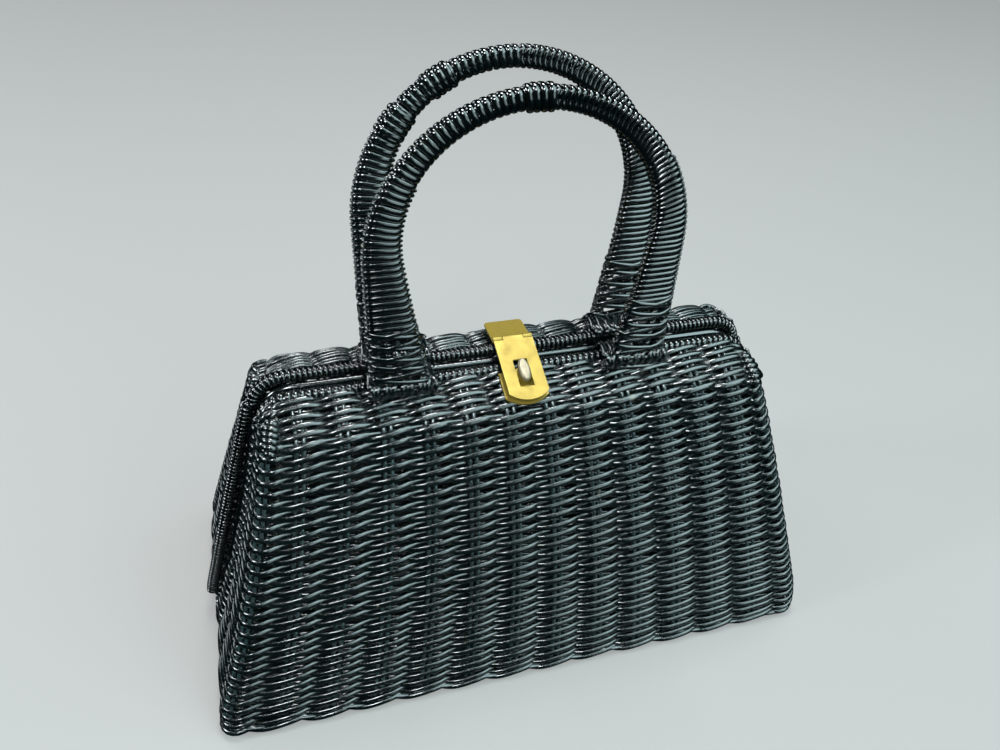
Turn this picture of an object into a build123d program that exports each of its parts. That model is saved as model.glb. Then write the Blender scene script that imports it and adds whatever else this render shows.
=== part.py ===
from build123d import *
import os
from math import atan, cos, pi, radians, sin, tan

os.makedirs("parts", exist_ok=True)

# A woven basket bag that opens like a shell. Two half baskets meet on a vertical parting
# plane (y = 0) and turn on cane loops along their bottom edges. Each half carries a hoop
# handle, and a brass hasp on the back half drops over a turn button on the front half.
# Millimetres. +X runs along the bag, -Y is the front, +Z is up, the floor is z = 0.

FRONT = -1
BACK = 1

# ---- Driving dimensions: the body ----
base_width = 288.0          # across the weave at the floor
top_width = 208.0           # across the weave at the top edge
body_height = 140.0         # height at which the side outline ends
side_sag = 4.0              # how far each side curves in from a straight taper
half_depth = 68.0           # parting plane to the foot of one face
shoulder_depth = 25.0       # parting plane to the knee where a face turns into its shoulder
front_knee_height = 133.0
back_knee_height = 137.5
front_shoulder_slope = 15.0     # degrees
back_shoulder_slope = 7.0       # degrees
wall = 4.0                  # thickness of the weave
corner_radius = 9.0         # outer rounding of the corners and knees
base_low = 2.3              # the woven base is raised inside a foot ring
base_high = 5.3

# ---- Rims ----
binding_radius = 3.2        # cane-bound rod along the front half's top edge
binding_y = 4.2
binding_z = 136.8
binding_drop = 9.0          # how far its ends turn down round the corners
rim_radius = 3.5            # cane-bound rod round the back half's mouth
rim_y = 4.5
rim_z = 140.0
rim_low = 11.0
rim_corner = 11.0
rim_inset = 1.5             # rod centre inside the outer face of the weave
stake_radius = 1.6          # bare stake down each side edge of the front half
stake_y = 3.8
stake_low = 8.0
stake_top = 110.0

# ---- Bottom hinge ----
hinge_rod_radius = 2.5
hinge_y = 2.9               # rod centres, each side of the parting plane
hinge_z = 3.8
hinge_rod_length = 282.0
loop_count = 7
loop_pitch = 42.0
loop_width = 8.0
loop_thickness = 1.0
loop_clearance = 0.06       # running clearance round the rods
notch_clearance = 0.9       # room in the base round each loop
toe_length = 7.4            # side walls are cut away this far from the parting plane

# ---- Handles ----
rail_radius = 2.0
wrap_thickness = 0.9        # cane wound over the rails
outer_rail_x = 58.1         # outer rail centre, from the middle of the bag
handle_height = 118.0       # over the wrapping, from the shoulder
rail_gap_foot = 19.0        # between rail centres at the shoulder
rail_gap_top = 4.3          # between rail centres at the top of the hoop
rail_tail = 9.0             # rails run down through the shoulder
hole_clearance = 0.6        # round each rail in its hole
wrap_start = 7.0            # the wrapping begins this far up the legs
window_height = 14.0        # opening between the rails at each foot
window_start = 9.0
front_handle_y = -10.9
back_handle_y = 12.2
front_handle_lean = 4.0     # degrees, both towards the back
back_handle_lean = 9.0
lashing_margin = 2.2        # cane bound round each foot, outside the rails
lashing_height = 7.4
lashing_clearance = 0.9     # kept back from the parting plane

# ---- Clasp ----
sheet = 0.8                 # brass sheet
clasp_width = 16.5
pin_radius = 0.6
knuckle_radius = 1.3
leaf_bore_clearance = 0.05
knuckle_width = 8.6         # middle knuckle, on the leaf
knuckle_gap = 0.25
hasp_seat = 0.1             # plate above the back rim
hasp_plate_slope = 8.0      # degrees, down towards the back
hasp_plate_length = 15.5
hinge_behind_rim = 0.0
leaf_slope = front_shoulder_slope
leaf_length = 31.2
leaf_end_bulge = 3.6
slot_length = 13.2
slot_width = 6.0
slot_centre = 18.4          # from the hinge pin
lock_width = 18.0
lock_back = 3.6             # lock plate behind the post
lock_front = 12.2           # lock plate in front of the post, to its rounded end
collar_radius = 3.5
leaf_seat = 0.1             # leaf above the collar
post_radius = 1.5
post_clearance = 0.05
post_head_radius = 2.4
post_head = 0.6
tab_length = 10.4
tab_width = 4.8
tab_height = 2.8
tab_lift = 0.5
prong_width = 2.0
prong_inset = 2.2
lock_prong_depth = 5.5
hasp_prong_depth = 9.0
prong_clearance = 0.1

# ---- Worked-out values ----
outer_wrap = rail_radius + wrap_thickness
spring_height = handle_height - outer_wrap - outer_rail_x
leg_length = spring_height + outer_rail_x * pi / 2


def knee_height(side):
    return front_knee_height if side == FRONT else back_knee_height


def shoulder_slope(side):
    return radians(front_shoulder_slope if side == FRONT else back_shoulder_slope)


def shoulder_z(side, y):
    """Height of the shoulder's outer face at a distance y from the parting plane."""
    return knee_height(side) + (shoulder_depth - y) * tan(shoulder_slope(side))


def side_outline(inset, low, high):
    """One curved side of the front view, as a sagitta arc from low to high."""
    lean = (base_width - top_width) / 2 / body_height
    start = (base_width / 2 - inset - lean * low, low)
    end = (base_width / 2 - inset - lean * high, high)
    share = ((high - low) / body_height) ** 2
    return start, end, side_sag * share


def half_block(side, inset, low, radius, edge):
    """One half as a solid: its side profile met by the front view, both drawn in by inset."""
    run = (half_depth - shoulder_depth) / knee_height(side)
    fall = tan(shoulder_slope(side))
    face_foot = half_depth - inset / cos(atan(run))
    shoulder_top = knee_height(side) + shoulder_depth * fall - inset / cos(shoulder_slope(side))
    knee_y = (face_foot - run * shoulder_top) / (1 - run * fall)
    with BuildPart() as block:
        with BuildSketch(Plane.YZ.offset(-base_width)):
            with BuildLine():
                Polyline(
                    (side * edge, low),
                    (side * (face_foot - run * low), low),
                    (side * knee_y, shoulder_top - fall * knee_y),
                    (side * edge, shoulder_top - fall * edge),
                    close=True,
                )
            make_face()
        extrude(amount=2 * base_width)
        with BuildSketch(Plane.XZ.offset(-2 * half_depth)):
            start, end, sag = side_outline(inset, 0, body_height + corner_radius)
            with BuildLine():
                SagittaArc(start, end, sag)
                Line(end, (-end[0], end[1]))
                SagittaArc((-end[0], end[1]), (-start[0], start[1]), sag)
                Line((-start[0], start[1]), start)
            make_face()
        extrude(amount=4 * half_depth, mode=Mode.INTERSECT)
        face = block.faces().filter_by(GeomType.PLANE).sort_by(Axis.Y)[0 if side == FRONT else -1]
        shoulder = block.faces().filter_by(GeomType.PLANE).sort_by(Axis.Z)[-1]
        corners = face.edges().sort_by(Axis.Z)[1:] + shoulder.edges().sort_by(Axis.X)[:1]
        corners += shoulder.edges().sort_by(Axis.X)[-1:]
        fillet(corners, radius=radius)
    return block.part


def rod_along(path, radius):
    """A round rod swept along a path, with rounded ends."""
    with BuildPart() as rod:
        with BuildSketch(Plane(origin=path @ 0, z_dir=path % 0)):
            Circle(radius)
        sweep(path=path)
        with Locations(path @ 0, path @ 1):
            Sphere(radius)
    return rod.part


# ---- Rims and edge stakes ----
with BuildPart() as front_rim_binding:
    with BuildLine(Plane.XZ.offset(binding_y)) as binding_line:
        start, end, sag = side_outline(rim_inset, binding_z - rim_corner - binding_drop, binding_z)
        SagittaArc(start, end, sag)
        Line(end, (-end[0], end[1]))
        SagittaArc((-end[0], end[1]), (-start[0], start[1]), sag)
        fillet(binding_line.vertices().group_by(Axis.Z)[-1], radius=rim_corner)
    add(rod_along(binding_line.wires()[0], binding_radius))
front_rim_binding.part.label = "front_rim_binding"

with BuildPart() as back_rim_binding:
    with BuildLine(Plane.XZ.offset(-rim_y)) as rim_line:
        start, end, sag = side_outline(rim_inset, rim_low, rim_z)
        SagittaArc(start, end, sag)
        Line(end, (-end[0], end[1]))
        SagittaArc((-end[0], end[1]), (-start[0], start[1]), sag)
        fillet(rim_line.vertices().group_by(Axis.Z)[-1], radius=rim_corner)
    add(rod_along(rim_line.wires()[0], rim_radius))
back_rim_binding.part.label = "back_rim_binding"


def edge_stake(sign):
    """A bare stake that the weavers turn round, down one side edge of the front half."""
    start, end, sag = side_outline(wall / 2, stake_low, stake_top)
    with BuildLine(Plane.XZ.offset(stake_y)) as line:
        SagittaArc((sign * start[0], start[1]), (sign * end[0], end[1]), sign * sag)
    return rod_along(line.edges()[0], stake_radius)


with BuildPart() as front_left_edge_stake:
    add(edge_stake(-1))
front_left_edge_stake.part.label = "front_left_edge_stake"

with BuildPart() as front_right_edge_stake:
    add(edge_stake(1))
front_right_edge_stake.part.label = "front_right_edge_stake"


# ---- Bottom hinge: two rods side by side, turning in cane loops ----
def hinge_rod(side, radius, length):
    with BuildPart() as rod:
        with BuildSketch(Plane.YZ.offset(-length / 2)):
            with Locations((side * hinge_y, hinge_z)):
                Circle(radius)
        extrude(amount=length)
    return rod.part


with BuildPart() as front_hinge_rod:
    add(hinge_rod(FRONT, hinge_rod_radius, hinge_rod_length))
front_hinge_rod.part.label = "front_hinge_rod"

with BuildPart() as back_hinge_rod:
    add(hinge_rod(BACK, hinge_rod_radius, hinge_rod_length))
back_hinge_rod.part.label = "back_hinge_rod"

loop_places = [(i - (loop_count - 1) / 2) * loop_pitch for i in range(loop_count)]
loop_inside = hinge_rod_radius + loop_clearance
loop_outside = loop_inside + loop_thickness

with BuildPart() as hinge_loops:
    for x in loop_places:
        with BuildSketch(Plane.YZ.offset(x - loop_width / 2)):
            with Locations((0, hinge_z)):
                SlotCenterToCenter(2 * hinge_y, 2 * loop_outside)
                SlotCenterToCenter(2 * hinge_y, 2 * loop_inside, mode=Mode.SUBTRACT)
        extrude(amount=loop_width)
hinge_loops.part.label = "hinge_loops"


# ---- Handles ----
def handle_plane(y, side, lean):
    """Plane of a hoop: x along the bag, y up the handle, leaning towards the back."""
    tilt = radians(lean)
    return Plane(
        origin=(0, y, shoulder_z(side, abs(y))), x_dir=(1, 0, 0), z_dir=(0, -cos(tilt), sin(tilt))
    )


def rail_gap(travel):
    """Distance between the rails, closing as the square of what is left of the leg."""
    left = min(1.0, 1 - travel / leg_length)
    return rail_gap_top + (rail_gap_foot - rail_gap_top) * left**2


def hoop_point(travel, inset):
    """Point on the outer rail's line, travel up from the foot, moved inwards by inset."""
    if travel <= spring_height:
        return (outer_rail_x - inset, travel)
    turn = (travel - spring_height) / outer_rail_x
    reach = outer_rail_x - inset
    return (reach * cos(turn), spring_height + reach * sin(turn))


def inner_rail_points(low, extra):
    """Stations along the inner side of one leg, from low to the top of the hoop."""
    stations = [low + (leg_length - low) * i / 8 for i in range(9)]
    return [hoop_point(s, rail_gap(s) + extra) for s in stations]


def outer_rail_line(plane, low):
    with BuildLine(plane) as line:
        Line((outer_rail_x, low), (outer_rail_x, spring_height))
        ThreePointArc(
            (outer_rail_x, spring_height),
            (0, spring_height + outer_rail_x),
            (-outer_rail_x, spring_height),
        )
        Line((-outer_rail_x, spring_height), (-outer_rail_x, low))
    return line.wires()[0]


def inner_rail_line(plane, low):
    right = inner_rail_points(low, 0)
    with BuildLine(plane) as line:
        Spline(*right, *[(-x, h) for x, h in reversed(right[:-1])])
    return line.wires()[0]


def rail(line, radius):
    with BuildPart() as rod:
        with BuildSketch(Plane(origin=line @ 0, z_dir=line % 0)):
            Circle(radius)
        sweep(path=line)
    return rod.part


def handle_wrap(plane, outer, inner):
    """Cane wound over both rails as one flat band, with an opening between them at each foot."""
    edge_x = outer_rail_x + outer_wrap
    right = inner_rail_points(wrap_start, outer_wrap)
    left = [(-x, h) for x, h in reversed(right[:-1])]
    with BuildPart() as wrap:
        with BuildSketch(plane):
            with BuildLine():
                Line((edge_x, wrap_start), (edge_x, spring_height))
                ThreePointArc(
                    (edge_x, spring_height), (0, spring_height + edge_x), (-edge_x, spring_height)
                )
                Polyline((-edge_x, spring_height), (-edge_x, wrap_start), left[-1])
                Spline(*right, *left)
                Line(right[0], (edge_x, wrap_start))
            make_face()
            middle = window_start + window_height / 2
            reach = rail_gap(middle) - 2 * outer_wrap
            for sign in (-1, 1):
                with Locations((sign * (outer_rail_x - rail_gap(middle) / 2), middle)):
                    Ellipse(reach / 2, window_height / 2, mode=Mode.SUBTRACT)
        extrude(amount=outer_wrap, both=True)
        add(outer, mode=Mode.SUBTRACT)
        add(inner, mode=Mode.SUBTRACT)
    return wrap.part


def rail_holes(plane):
    """Four round holes through a shoulder for the tails of the rails."""
    inner_x = outer_rail_x - rail_gap(0)
    foot = Plane(origin=plane.origin, x_dir=plane.x_dir, z_dir=plane.y_dir)
    with BuildPart() as holes:
        with BuildSketch(foot.offset(-rail_tail)):
            with Locations(*[(x, 0) for x in (-outer_rail_x, -inner_x, inner_x, outer_rail_x)]):
                Circle(rail_radius + hole_clearance)
        extrude(amount=2 * rail_tail)
    return holes.part


front_plane = handle_plane(front_handle_y, FRONT, front_handle_lean)
back_plane = handle_plane(back_handle_y, BACK, back_handle_lean)

with BuildPart() as front_handle_outer_rail:
    add(rail(outer_rail_line(front_plane, -rail_tail), rail_radius))
front_handle_outer_rail.part.label = "front_handle_outer_rail"

with BuildPart() as front_handle_inner_rail:
    add(rail(inner_rail_line(front_plane, -rail_tail), rail_radius))
front_handle_inner_rail.part.label = "front_handle_inner_rail"

with BuildPart() as front_handle_wrap:
    add(handle_wrap(front_plane, front_handle_outer_rail.part, front_handle_inner_rail.part))
front_handle_wrap.part.label = "front_handle_wrap"

with BuildPart() as back_handle_outer_rail:
    add(rail(outer_rail_line(back_plane, -rail_tail), rail_radius))
back_handle_outer_rail.part.label = "back_handle_outer_rail"

with BuildPart() as back_handle_inner_rail:
    add(rail(inner_rail_line(back_plane, -rail_tail), rail_radius))
back_handle_inner_rail.part.label = "back_handle_inner_rail"

with BuildPart() as back_handle_wrap:
    add(handle_wrap(back_plane, back_handle_outer_rail.part, back_handle_inner_rail.part))
back_handle_wrap.part.label = "back_handle_wrap"


# ---- Clasp: hinge pin, back plate, leaf, lock plate and turn button ----
def tilted(y, z, slope):
    """Plane lying on a slope that falls by slope degrees towards +Y; local y points back."""
    fall = radians(slope)
    return Plane(origin=(0, y, z), x_dir=(1, 0, 0), z_dir=(0, sin(fall), cos(fall)))


plate_fall = radians(hasp_plate_slope)
pin_height = rim_radius + hasp_seat + knuckle_radius
pin_y = rim_y + hinge_behind_rim * cos(plate_fall) + pin_height * sin(plate_fall)
pin_z = rim_z - hinge_behind_rim * sin(plate_fall) + pin_height * cos(plate_fall)
pin_plane = tilted(pin_y, pin_z, hasp_plate_slope)
leaf_plane = tilted(pin_y, pin_z, -leaf_slope)
leaf_rise = knuckle_radius - sheet      # underside of the leaf above the pin's centre



def prongs(plane, places, across, along, depth):
    """Flat prongs below a plate, bent from its sheet and pushed through the weave."""
    with BuildPart() as group:
        with BuildSketch(plane):
            with Locations(*places):
                Rectangle(across, along)
        extrude(amount=-depth)
    return group.part


with BuildPart() as hasp_pin:
    with BuildSketch(Plane.YZ.offset(-clasp_width / 2)):
        with Locations((pin_y, pin_z)):
            Circle(pin_radius)
    extrude(amount=clasp_width)
hasp_pin.part.label = "hasp_pin"

hasp_prong_plane = pin_plane.offset(-knuckle_radius)
hasp_prong_places = [
    (sign * (clasp_width / 2 - prong_inset), hasp_plate_length - prong_inset) for sign in (-1, 1)
]

with BuildPart() as hasp_plate:
    with BuildSketch(pin_plane.offset(-knuckle_radius)):
        with Locations((0, hasp_plate_length / 2)):
            RectangleRounded(clasp_width, hasp_plate_length, 1.6)
        with Locations((0, 0)):
            Rectangle(knuckle_width + 2 * knuckle_gap, 2 * (knuckle_radius + knuckle_gap), mode=Mode.SUBTRACT)
    extrude(amount=sheet)
    for sign in (-1, 1):
        width = (clasp_width - knuckle_width) / 2 - knuckle_gap
        middle = sign * (clasp_width - width) / 2
        with BuildSketch(Plane.YZ.offset(middle - width / 2)):
            with Locations((pin_y, pin_z)):
                Circle(knuckle_radius)
        extrude(amount=width)
    add(prongs(hasp_prong_plane, hasp_prong_places, prong_width, sheet, hasp_prong_depth))
    add(hasp_pin.part, mode=Mode.SUBTRACT)
hasp_plate.part.label = "hasp_plate"

with BuildPart() as hasp_leaf:
    with BuildSketch(leaf_plane.offset(leaf_rise)):
        side_length = leaf_length - leaf_end_bulge
        shoulder_start = -knuckle_radius - knuckle_gap
        with BuildLine():
            Polyline(
                (-clasp_width / 2, -side_length),
                (-clasp_width / 2, shoulder_start),
                (-knuckle_width / 2, shoulder_start),
                (-knuckle_width / 2, 0),
                (knuckle_width / 2, 0),
                (knuckle_width / 2, shoulder_start),
                (clasp_width / 2, shoulder_start),
                (clasp_width / 2, -side_length),
            )
            ThreePointArc((clasp_width / 2, -side_length), (0, -leaf_length), (-clasp_width / 2, -side_length))
        make_face()
        with Locations((0, -slot_centre)):
            Rectangle(slot_width, slot_length, mode=Mode.SUBTRACT)
    extrude(amount=sheet)
    with BuildSketch(Plane.YZ.offset(-knuckle_width / 2)):
        with Locations((pin_y, pin_z)):
            Circle(knuckle_radius)
    extrude(amount=knuckle_width)
    with BuildSketch(Plane.YZ.offset(-knuckle_width)):
        with Locations((pin_y, pin_z)):
            Circle(pin_radius + leaf_bore_clearance)
    extrude(amount=2 * knuckle_width, mode=Mode.SUBTRACT)
hasp_leaf.part.label = "hasp_leaf"

# The lock stands square to the leaf, on the sloping front shoulder.
lock_fall = radians(leaf_slope)
lock_y = pin_y - slot_centre * cos(lock_fall)
lock_z = pin_z - slot_centre * sin(lock_fall)
above_shoulder = (lock_z - shoulder_z(FRONT, -lock_y)) * cos(lock_fall)
post_y = lock_y + above_shoulder * sin(lock_fall)
lock_plane = tilted(post_y, shoulder_z(FRONT, -post_y), -leaf_slope)
leaf_height = (pin_z - shoulder_z(FRONT, -pin_y)) * cos(lock_fall) + leaf_rise
collar_height = leaf_height - leaf_seat

lock_prong_places = [(sign * (lock_width / 2 - prong_inset), 0) for sign in (-1, 1)]

with BuildPart() as lock_plate:
    with BuildSketch(lock_plane):
        half_lock = lock_width / 2
        straight = lock_front - leaf_end_bulge
        with BuildLine():
            Polyline(
                (-half_lock, -straight), (-half_lock, lock_back), (half_lock, lock_back), (half_lock, -straight)
            )
            ThreePointArc((half_lock, -straight), (0, -lock_front), (-half_lock, -straight))
        make_face()
    extrude(amount=sheet)
    with BuildSketch(lock_plane):
        Circle(collar_radius)
    extrude(amount=collar_height)
    add(prongs(lock_plane, lock_prong_places, sheet, prong_width, lock_prong_depth))
    with BuildSketch(lock_plane):
        Circle(post_radius + post_clearance)
    extrude(amount=collar_height, mode=Mode.SUBTRACT)
lock_plate.part.label = "lock_plate"

with BuildPart() as turn_button:
    tab_base = leaf_height + sheet + tab_lift
    with BuildSketch(lock_plane.offset(-post_head - post_clearance)):
        Circle(post_head_radius)
    extrude(amount=post_head)
    with BuildSketch(lock_plane.offset(-post_head - post_clearance)):
        Circle(post_radius)
    extrude(amount=tab_base + post_head + post_clearance)
    with BuildSketch(lock_plane.offset(tab_base)) as tab_outline:
        Ellipse(tab_width / 2, tab_length / 2)
    extrude(amount=tab_height)
    tab_edges = turn_button.edges().filter_by(GeomType.ELLIPSE)
    fillet(tab_edges, radius=tab_height / 3)
turn_button.part.label = "turn_button"


# ---- Woven halves ----
def half_basket(side, edge, loop_room, held):
    """Outer block less its cavity and the hollow under its base, cut back from what it holds."""
    with BuildPart() as basket:
        add(half_block(side, 0, 0, corner_radius, edge))
        add(half_block(side, wall, base_high, corner_radius - wall, -edge), mode=Mode.SUBTRACT)
        with BuildSketch(Plane.XY.offset(-1)):
            run = half_depth - wall - edge
            with Locations((0, side * (edge + run / 2 - 1))):
                RectangleRounded(base_width - 2 * wall - 2, run, corner_radius / 2)
        extrude(amount=base_low + 1, mode=Mode.SUBTRACT)
        with BuildSketch(Plane.YZ.offset(-base_width)):
            with Locations((side * toe_length / 2, hinge_z / 2)):
                Rectangle(toe_length, hinge_z)
        extrude(amount=2 * base_width, mode=Mode.SUBTRACT)
        for x in loop_places:
            with BuildSketch(Plane.YZ.offset(x - loop_width / 2 - loop_clearance * 10)):
                with Locations((side * hinge_y, hinge_z)):
                    Circle(loop_room)
            extrude(amount=loop_width + loop_clearance * 20, mode=Mode.SUBTRACT)
        for piece in held:
            add(piece, mode=Mode.SUBTRACT)
    return basket.part


loop_room = loop_outside + notch_clearance
pocket_across = prong_width + 2 * prong_clearance
pocket_along = sheet + 2 * prong_clearance
post_pocket_depth = post_head + post_clearance * 4

with BuildPart() as front_basket:
    add(
        half_basket(
            FRONT,
            stake_y,
            loop_room,
            [
                front_rim_binding.part,
                front_left_edge_stake.part,
                front_right_edge_stake.part,
                front_hinge_rod.part,
                rail_holes(front_plane),
                prongs(lock_plane, lock_prong_places, pocket_along, pocket_across, rail_tail),
            ],
        )
    )
    with BuildSketch(lock_plane):
        Circle(post_head_radius + post_clearance * 4)
    extrude(amount=-post_pocket_depth, mode=Mode.SUBTRACT)
front_basket.part.label = "front_basket"

with BuildPart() as back_basket:
    add(
        half_basket(
            BACK,
            rim_y,
            loop_room,
            [
                back_rim_binding.part,
                back_hinge_rod.part,
                rail_holes(back_plane),
                prongs(hasp_prong_plane, hasp_prong_places, pocket_across, pocket_along, rail_tail),
            ],
        )
    )
back_basket.part.label = "back_basket"


# ---- Cane bound round the foot of each handle and the rim beside it ----
def foot_lashings(side, plane, held):
    near = lashing_clearance
    far = abs(plane.origin.Y) + outer_wrap + 0.6
    low = shoulder_z(side, far)
    with BuildPart() as lashings:
        for sign in (-1, 1):
            with BuildSketch(Plane.XY.offset(low)):
                with Locations((sign * (outer_rail_x - rail_gap_foot / 2), side * (near + far) / 2)):
                    RectangleRounded(rail_gap_foot + 2 * outer_wrap + lashing_margin, far - near, 2.0)
            extrude(amount=lashing_height + plane.origin.Z - low)
        for piece in held:
            add(piece, mode=Mode.SUBTRACT)
    return lashings.part


with BuildPart() as front_handle_lashings:
    add(
        foot_lashings(
            FRONT,
            front_plane,
            [
                front_basket.part,
                front_rim_binding.part,
                front_handle_outer_rail.part,
                front_handle_inner_rail.part,
                front_handle_wrap.part,
            ],
        )
    )
front_handle_lashings.part.label = "front_handle_lashings"

with BuildPart() as back_handle_lashings:
    add(
        foot_lashings(
            BACK,
            back_plane,
            [
                back_basket.part,
                back_rim_binding.part,
                back_handle_outer_rail.part,
                back_handle_inner_rail.part,
                back_handle_wrap.part,
            ],
        )
    )
back_handle_lashings.part.label = "back_handle_lashings"

# ---- Export ----
pieces = [
    front_basket,
    back_basket,
    front_rim_binding,
    back_rim_binding,
    front_left_edge_stake,
    front_right_edge_stake,
    front_hinge_rod,
    back_hinge_rod,
    hinge_loops,
    front_handle_outer_rail,
    front_handle_inner_rail,
    front_handle_wrap,
    front_handle_lashings,
    back_handle_outer_rail,
    back_handle_inner_rail,
    back_handle_wrap,
    back_handle_lashings,
    hasp_plate,
    hasp_pin,
    hasp_leaf,
    lock_plate,
    turn_button,
]
for piece in pieces:
    export_step(piece.part, f"parts/{piece.part.label}.step")
    print(f"{piece.part.label:26s} solids {len(piece.part.solids())} volume {piece.part.volume:10.1f}")
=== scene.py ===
# %% [markdown]
# # A basket box bag in black lacquered wicker
# The bag is two woven trays that shut face to face like a shell and turn on their bottom edges.
# Every surface that the eye meets is made of cane: thin weavers twined round pairs of stakes,
# cane wound along the rims and cane bound over the two handles. Only the clasp is metal.
# So nearly every piece here is one idea, a strand carried along a path. Blender could do that
# with curve objects, but whole rows worked out as number arrays give exact control of how two
# weavers cross, and thousands of strokes then build in a few seconds.

# %% Load the frame
import bpy
import numpy as np
from mathutils import Matrix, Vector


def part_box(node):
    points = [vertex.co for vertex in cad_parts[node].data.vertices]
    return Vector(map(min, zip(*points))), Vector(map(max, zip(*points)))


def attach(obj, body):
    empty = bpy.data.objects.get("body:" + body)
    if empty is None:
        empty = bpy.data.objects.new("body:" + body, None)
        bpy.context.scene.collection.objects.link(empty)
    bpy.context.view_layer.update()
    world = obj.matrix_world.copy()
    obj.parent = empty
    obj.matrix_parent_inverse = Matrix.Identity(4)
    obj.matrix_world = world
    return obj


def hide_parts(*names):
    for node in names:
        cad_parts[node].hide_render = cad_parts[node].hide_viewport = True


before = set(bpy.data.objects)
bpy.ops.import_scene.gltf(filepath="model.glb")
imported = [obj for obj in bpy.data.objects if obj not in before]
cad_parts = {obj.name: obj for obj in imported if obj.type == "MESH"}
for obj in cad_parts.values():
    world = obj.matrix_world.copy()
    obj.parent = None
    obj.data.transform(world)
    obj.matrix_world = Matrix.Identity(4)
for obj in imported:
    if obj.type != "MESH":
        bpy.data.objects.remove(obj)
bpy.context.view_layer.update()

# %% [markdown]
# ## Shared helpers
# All sizes are in millimetres, because the parts are small, and become metres when a mesh is
# made. The bag's width lies along x, its front looks towards -y, and it stands on z = 0. One
# seeded generator gives all the small unevenness, so every run weaves the same bag.

# %% Directions and lengths
MM = 0.001
RIGHTWARDS = np.array([1.0, 0.0, 0.0])
FORWARDS = np.array([0.0, -1.0, 0.0])
UPWARDS = np.array([0.0, 0.0, 1.0])
rng = np.random.default_rng(11)


def unit(vectors):
    """Each vector divided by its own length."""
    return vectors / np.linalg.norm(vectors, axis=-1, keepdims=True)


def run_along(points):
    """Length from the first point to each point: the running sum of the steps between them."""
    return np.concatenate([[0.0], np.cumsum(np.linalg.norm(np.diff(points, axis=0), axis=1))])


def read_off(at, run, values):
    """Each column of an array read at lengths along a run, straight between its points."""
    return np.stack([np.interp(at, run, column) for column in values.T], -1)


print("a 3 by 4 step measures", run_along(np.array([[0.0, 0.0], [3.0, 4.0]]))[-1])

# %% [markdown]
# A strand is a list of points with a direction that its flat side keeps to. Cane is flattened
# a little, so its section is an ellipse. Each strand also keeps one random number, its tone.

# %% Strand
def cane(points, across, width, thickness, sides=8, closed=False):
    """A strand. Round each point goes an ellipse: side * width * cos + out * thickness * sin.

    The path's own direction is the difference of its neighbours, side is across made square
    to it, and out is square to both. Across is one direction, or one for each point.
    """
    if closed:
        ahead = unit(np.roll(points, -1, 0) - np.roll(points, 1, 0))
        run = run_along(np.vstack([points, points[:1]]))
    else:
        ahead = unit(np.gradient(points, axis=0))
        run = run_along(points)
    side = unit(across - np.sum(across * ahead, -1, keepdims=True) * ahead)
    out = np.cross(side, ahead)
    turn = 2 * np.pi * np.arange(sides)[:, None] / sides
    rings = points[:, None] + side[:, None] * np.cos(turn) * width
    rings = rings + out[:, None] * np.sin(turn) * thickness
    return {"rings": rings, "run": run, "closed": closed, "tone": rng.random()}


print("strands are made of elliptic rings")

# %% [markdown]
# A piece is many strands in one mesh. The faces come from index arithmetic on whole arrays:
# each ring joins the next one, a closed row joins its last ring to its first, and an open
# strand gets a small fan over each end. The map stores the length along the strand and the way
# round it, so that fibres can run along the cane.

# %% Faces of a strand
MAP_UNIT = 10.0     # millimetres of strand to one unit of its map
TIP_LENGTH = 0.6    # how far an end bulges, as a share of its width


def side_faces(strand):
    """Quads between neighbouring rings, and their map: length along by share of the way round."""
    count, sides = strand["rings"].shape[:2]
    joins = count if strand["closed"] else count - 1
    i, j = (grid.ravel() for grid in np.meshgrid(np.arange(joins), np.arange(sides), indexing="ij"))
    next_i, next_j = (i + 1) % count, (j + 1) % sides
    quads = [i * sides + j, next_i * sides + j, next_i * sides + next_j, i * sides + next_j]
    low, high = strand["run"][i] / MAP_UNIT, strand["run"][i + 1] / MAP_UNIT
    near, far = j / sides, (j + 1) / sides
    quad_map = np.stack([low, near, high, near, high, far, low, far], 1)
    return np.stack(quads, 1), quad_map.reshape(-1, 4, 2)


def end_fans(strand):
    """The two tips of an open strand, the triangles that close its ends on them, and their map."""
    rings = strand["rings"]
    count, sides = rings.shape[:2]
    total = count * sides
    centres = rings[[0, -1]].mean(1)
    outwards = unit(centres - rings[[1, -2]].mean(1))
    size = np.linalg.norm(rings[[0, -1], 0] - centres, axis=1)[:, None]
    tips = centres + outwards * size * TIP_LENGTH
    j = np.arange(sides)
    next_j = (j + 1) % sides
    first = np.stack([np.full(sides, total), j, next_j], 1)
    last = np.stack([np.full(sides, total + 1), total - sides + next_j, total - sides + j], 1)
    start_map = np.stack([0.0 * j, j / sides] * 3, 1).reshape(-1, 3, 2)
    end_map = start_map + [strand["run"][-1] / MAP_UNIT, 0.0]
    return tips, np.vstack([first, last]), np.vstack([start_map, end_map])


print("one unit of the fibre map is", MAP_UNIT, "mm")

# %% [markdown]
# The arrays of all strands are then joined, and Blender takes them over in one go. That is far
# quicker than adding faces one by one.

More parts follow.
